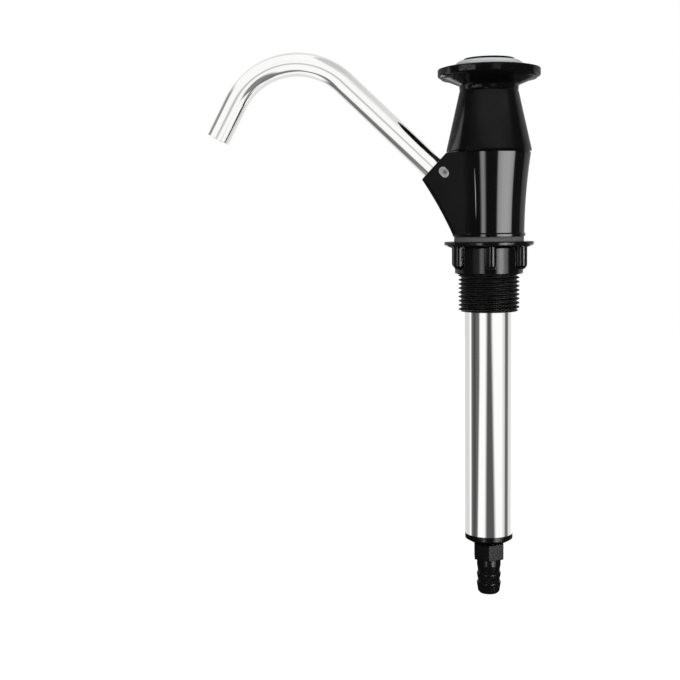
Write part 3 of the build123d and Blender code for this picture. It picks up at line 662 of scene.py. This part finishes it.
# Directions are in degrees from the side that the camera stands on, right and up positive.
VIEWS = {
    "thread": View(0.17, {
        "rear_pale": Card(110, 250, -60, 60, 0.3, side=12),
        "left_strip": Card(-60, -12, -34, 20, 0.34, side=14),
        "right_strip": Card(21, 76, -34, 20, 0.55, side=20),
    }, ("threaded_tail",)),
    "satin": View(0.04, {
        "cone_sheen": Card(-99, 76, 26, 70, 0.28, side=28, lean_left=23.0, lean_from=34),
        **rear_cards(-20, left_high=24, left_glow=0.2, right_glow=0.3),
        "rim_left": Card(-68, -30, 8, 19, 0.9, side=5),
        "rim_right": Card(8, 26, 8, 19, 0.35, side=5),
    }, ("guide_cap", "knob", "knob_ring", "knob_cap")),
    "nut": View(0.04, {
        **rear_cards(-20),
        "left_fade": Card(-52, -18, -34, 6, 0.2, side=18),
        "left_strip": Card(-30, -17, -34, 6, 1.5, side=10),
        "right_strip": Card(27, 66, -34, 6, 1.5, side=12),
        "right_middle": Card(32, 50, -34, 6, 3.6, side=15),
    }, ("back_nut", "hose_tail", "deck_gasket")),
    "barrel": View(1.09, {
        "far_left": Card(-180, -106, -60, 60, 0.74, side=10, end=10),
        "left_cloth": Card(-93, -45, -60, 60, 0.15, side=10, end=10, lean_right=-0.8, lean_from=-11),
        "left_core": Card(-80, -64, -60, 60, 0.08, side=10, end=10),
        "centre_cloth": Card(-11, 13, -60, 60, 0.1, side=16, lean_left=-0.3, lean_right=1.1),
        "right_pale": Card(68, 130, -60, 60, 0.8, side=10, end=10),
        "right_cloth": Card(82, 104, -60, 60, 0.15, side=8, end=10),
    }, ("barrel", "piston_rod")),
    "housing": View(0.04, {
        **rear_cards(-34),
        "left_strip": Card(-24, -11, -34, 6, 2.7, side=8, end=1.2),
        "right_strip": Card(26, 76, -34, 6, 3.1, side=6, end=1.2),
        "right_middle": Card(34, 68, -34, 6, 4.4, side=22, end=1.2),
    }),
    "spout": View(1.08, {
        "rear_grey": Card(122, 238, -70, 70, 0.84, side=10, end=10),
        "low_patch": Card(3, 32, -80, -18, 0.25, side=10, end=8, lean_right=0.9, lean_from=-20),
        "low_cord": Cord((
            (-125, -32), (-88, -34), (-65, -42), (-51, -47), (-44, -62), (-6, -68), (36, -63), (58, -49),
            (80, -38),
        ), 8.5, 0.18),
        "crown_cord": Cord(((-60, -45), (-51, -51), (-44, -64), (-6, -70), (36, -66)), 13.0, 0.2),
        "tip_cord": Cord(((80, -38), (90, -33), (105, -28), (126, -24)), 4.0, 0.6),
        "left_high_line": Card(-120, -80, 20, 34, 0.3, side=8, end=8),
        "front_grey": Card(-24, 4, 1, 13, 0.58, side=14, end=9),
        "right_high_grey": Card(15, 170, 52, 120, 0.64, side=24, end=28),
    }, ("spout_tube",)),
}

# The tent's mesh has a point every so many degrees, and each wall lies this share of the radius further in.
TENT_STEP = 1.5
TENT_GAP = 0.01

# Each point of the tent keeps how bright it is in this attribute.
GLOW = "glow"

# Where the camera stands, in degrees round the tap from the front.
FRONT_AZIMUTH = -1.2


def tent_globe(name, radius):
    """The directions of a globe's points, and the globe round the tap as an object that shows only in
    shiny surfaces."""
    around, rows = round(360 / TENT_STEP), round(180 / TENT_STEP)
    points, aims, faces = [], [], []
    for row in range(rows + 1):
        rise = -90 + 180 * row / rows
        for step in range(around):
            turn = -180 + 360 * step / around
            aims.append((turn, rise))
            azimuth, elevation = math.radians(FRONT_AZIMUTH + turn), math.radians(rise)
            points.append(radius * Vector((
                math.sin(azimuth) * math.cos(elevation),
                -math.cos(azimuth) * math.cos(elevation),
                math.sin(elevation),
            )))
    for row in range(rows):
        low, high = row * around, (row + 1) * around
        for step in range(around):
            after = (step + 1) % around
            faces.append((low + step, high + step, high + after, low + after))
    mesh = bpy.data.meshes.new(name)
    mesh.from_pydata(points, [], faces)
    globe = bpy.data.objects.new(name, mesh)
    bpy.context.scene.collection.objects.link(globe)
    globe.visible_camera = False
    globe.visible_diffuse = False
    globe.visible_transmission = False
    globe.visible_shadow = False
    return globe, aims


def tent_material(name, through):
    """A cloth that glows as its points say. Light from behind comes through, or doesn't."""
    material = bpy.data.materials.new(name)
    material.use_nodes = True
    material.cycles.emission_sampling = "NONE"
    nodes = Nodes(material.node_tree)
    level = nodes.add("ShaderNodeAttribute", attribute_name=GLOW)
    surface = nodes.add("ShaderNodeEmission", {"Strength": level.outputs["Fac"]}).outputs["Emission"]
    if through:
        clear = nodes.add("ShaderNodeBsdfTransparent").outputs["BSDF"]
        surface = nodes.add("ShaderNodeAddShader", {0: surface, 1: clear}).outputs["Shader"]
    nodes.add("ShaderNodeOutputMaterial", {"Surface": surface})
    return material


def tent_wall(name, radius, view, material, pieces):
    """One wall of the tent, which shows only in these pieces."""
    globe, aims = tent_globe(name, radius)
    level = globe.data.attributes.new(GLOW, "FLOAT", "POINT")
    level.data.foreach_set("value", [view.glow(*aim) for aim in aims])
    globe.data.materials.append(material)
    seers = bpy.data.collections.new(name + "_pieces")
    for piece in pieces:
        seers.objects.link(piece)
    globe.light_linking.receiver_collection = seers


# The photograph's camera, before the scene turns round the tap with it.
CAMERA_PLACE = Vector((-0.0822, -0.652, 0.01329))
CAMERA_PITCH = math.radians(5.82)
CAMERA_ROLL = math.radians(-0.71)
CAMERA_TURN = math.radians(6.0)
CAMERA_CLIP = (0.01, 50.0)
FOCAL_PIXELS = 1187.0
PHOTO_PIXELS = 680.0
SENSOR = 36.0

# Each lamp's place, and its share of the lamp power.
LAMPS = {
    "left_lamp": (Vector((-0.9, -1.1, 0.9)), 0.7),
    "right_lamp": (Vector((1.1, -0.9, 0.7)), 1.0),
    "rear_lamp": (Vector((0.3, 1.3, 1.0)), 0.7),
}
LAMP_WIDTH = 0.9
LAMP_HEIGHT = 0.7

# The floor glows by as much as its paint lacks of white under these lamps.
FLOOR_HALF = 12.0
FLOOR_PAINT = (0.85, 0.85, 0.85, 1.0)
FLOOR_LIFT = 0.65


class PUMPTAP_OT_studio(bpy.types.Operator):
    """Make the floor, the backdrop, the light and the camera"""

    bl_idname = "pumptap.studio"
    bl_label = "Studio"

    def execute(self, context):
        settings = context.scene.pumptap_studio
        self.make_world(context, settings)
        self.make_floor(context, settings)
        self.make_tent(settings)
        self.make_lamps(context, settings)
        self.make_camera(context)
        context.scene.view_settings.view_transform = "Standard"
        return {"FINISHED"}

    def make_tent(self, settings):
        """A dark tent, and in it what each kind of piece sees."""
        dark, _ = tent_globe("tent_dark", settings.tent_radius)
        dark.data.materials.append(tent_material("tent_dark", through=False))
        cloth = tent_material("tent_cloth", through=True)
        pieces = {**frame["nodes"], "spout_tube": bpy.data.objects["spout"]}
        named = {name for view in VIEWS.values() for name in view.nodes}
        for place, (kind, view) in enumerate(VIEWS.items(), start=1):
            names = view.nodes or [name for name in pieces if name not in named]
            radius = settings.tent_radius * (1 - TENT_GAP * place)
            tent_wall("tent_" + kind, radius, view, cloth, [pieces[name] for name in names])

    def make_world(self, context, settings):
        """White to the camera, in reflections and through clear pieces, and a plain fill otherwise."""
        world = bpy.data.worlds.new("studio_air")
        context.scene.world = world
        world.use_nodes = True
        world.cycles.sampling_method = "NONE"
        nodes = Nodes(world.node_tree)
        shown = nodes.seen("Is Glossy Ray", "Is Transmission Ray")
        strength = nodes.grade(shown, settings.daylight, 1.0, start=0.0, end=1.0)
        air = nodes.add("ShaderNodeBackground", {"Color": WHITE, "Strength": strength})
        nodes.add("ShaderNodeOutputWorld", {"Surface": air.outputs["Background"]})

    def make_floor(self, context, settings):
        """A wide pale floor under the tap."""
        half, z = FLOOR_HALF, settings.floor_drop
        mesh = bpy.data.meshes.new("floor")
        mesh.from_pydata(
            [(-half, -half, z), (half, -half, z), (half, half, z), (-half, half, z)], [], [(0, 1, 2, 3)]
        )
        paint = Finish("floor_white")
        lift = paint.maths("MULTIPLY", paint.seen("Is Glossy Ray"), FLOOR_LIFT)
        mesh.materials.append(paint.set(
            Base_Color=FLOOR_PAINT,
            Roughness=0.9,
            Specular_IOR_Level=0.0,
            Emission_Color=WHITE,
            Emission_Strength=lift,
        ))
        floor = bpy.data.objects.new("floor", mesh)
        context.scene.collection.objects.link(floor)

    def make_lamps(self, context, settings):
        """Big soft lamps on both sides in front and one behind. Shiny surfaces show the tent instead."""
        for name, (spot, share) in LAMPS.items():
            lamp = bpy.data.lights.new(name, "AREA")
            lamp.shape = "RECTANGLE"
            lamp.size, lamp.size_y = LAMP_WIDTH, LAMP_HEIGHT
            lamp.energy = settings.lamp_power * share
            holder = bpy.data.objects.new(name, lamp)
            context.scene.collection.objects.link(holder)
            holder.location = spot
            holder.rotation_euler = (-spot).to_track_quat("-Z", "Y").to_euler()
            holder.visible_camera = False
            holder.visible_glossy = False

    def make_camera(self, context):
        """The photograph's view, fitted to the tap's outlines."""
        ahead = Vector((0, math.cos(CAMERA_PITCH), -math.sin(CAMERA_PITCH)))
        level_up = Vector((0, math.sin(CAMERA_PITCH), math.cos(CAMERA_PITCH)))
        side = Vector((1, 0, 0))
        right = side * math.cos(CAMERA_ROLL) + level_up * math.sin(CAMERA_ROLL)
        up = level_up * math.cos(CAMERA_ROLL) - side * math.sin(CAMERA_ROLL)
        axes = Matrix((right, up, -ahead)).transposed().to_4x4()
        data = bpy.data.cameras.new("photo_view")
        data.sensor_width = SENSOR
        data.lens = SENSOR * FOCAL_PIXELS / PHOTO_PIXELS
        data.clip_start, data.clip_end = CAMERA_CLIP
        camera = bpy.data.objects.new("photo_view", data)
        context.scene.collection.objects.link(camera)
        camera.matrix_world = Matrix.Rotation(CAMERA_TURN, 4, "Z") @ Matrix.Translation(CAMERA_PLACE) @ axes
        context.scene.camera = camera


class PUMPTAP_PT_panel(bpy.types.Panel):
    """Lists the steps that dress the tap"""

    bl_idname = "PUMPTAP_PT_panel"
    bl_label = "Hand Pump Tap"
    bl_space_type = "VIEW_3D"
    bl_region_type = "UI"
    bl_category = "Pump Tap"

    def draw(self, context):
        scene = context.scene
        for group in (scene.pumptap_colours, scene.pumptap_spout, scene.pumptap_studio):
            box = self.layout.box()
            for name in group.__annotations__:
                box.prop(group, name)
        for step in OPERATORS:
            self.layout.operator(step.bl_idname)


OPERATORS = (PUMPTAP_OT_finishes, PUMPTAP_OT_spout, PUMPTAP_OT_studio)
CLASSES = (TapColours, SpoutSizes, StudioSettings, *OPERATORS, PUMPTAP_PT_panel)


def register():
    for item in CLASSES:
        bpy.utils.register_class(item)
    bpy.types.Scene.pumptap_colours = PointerProperty(type=TapColours)
    bpy.types.Scene.pumptap_spout = PointerProperty(type=SpoutSizes)
    bpy.types.Scene.pumptap_studio = PointerProperty(type=StudioSettings)


def unregister():
    del bpy.types.Scene.pumptap_studio
    del bpy.types.Scene.pumptap_spout
    del bpy.types.Scene.pumptap_colours
    for item in reversed(CLASSES):
        bpy.utils.unregister_class(item)


def main():
    register()
    bpy.ops.pumptap.finishes()
    bpy.ops.pumptap.spout()
    bpy.ops.pumptap.studio()


if __name__ == "__main__":
    main()
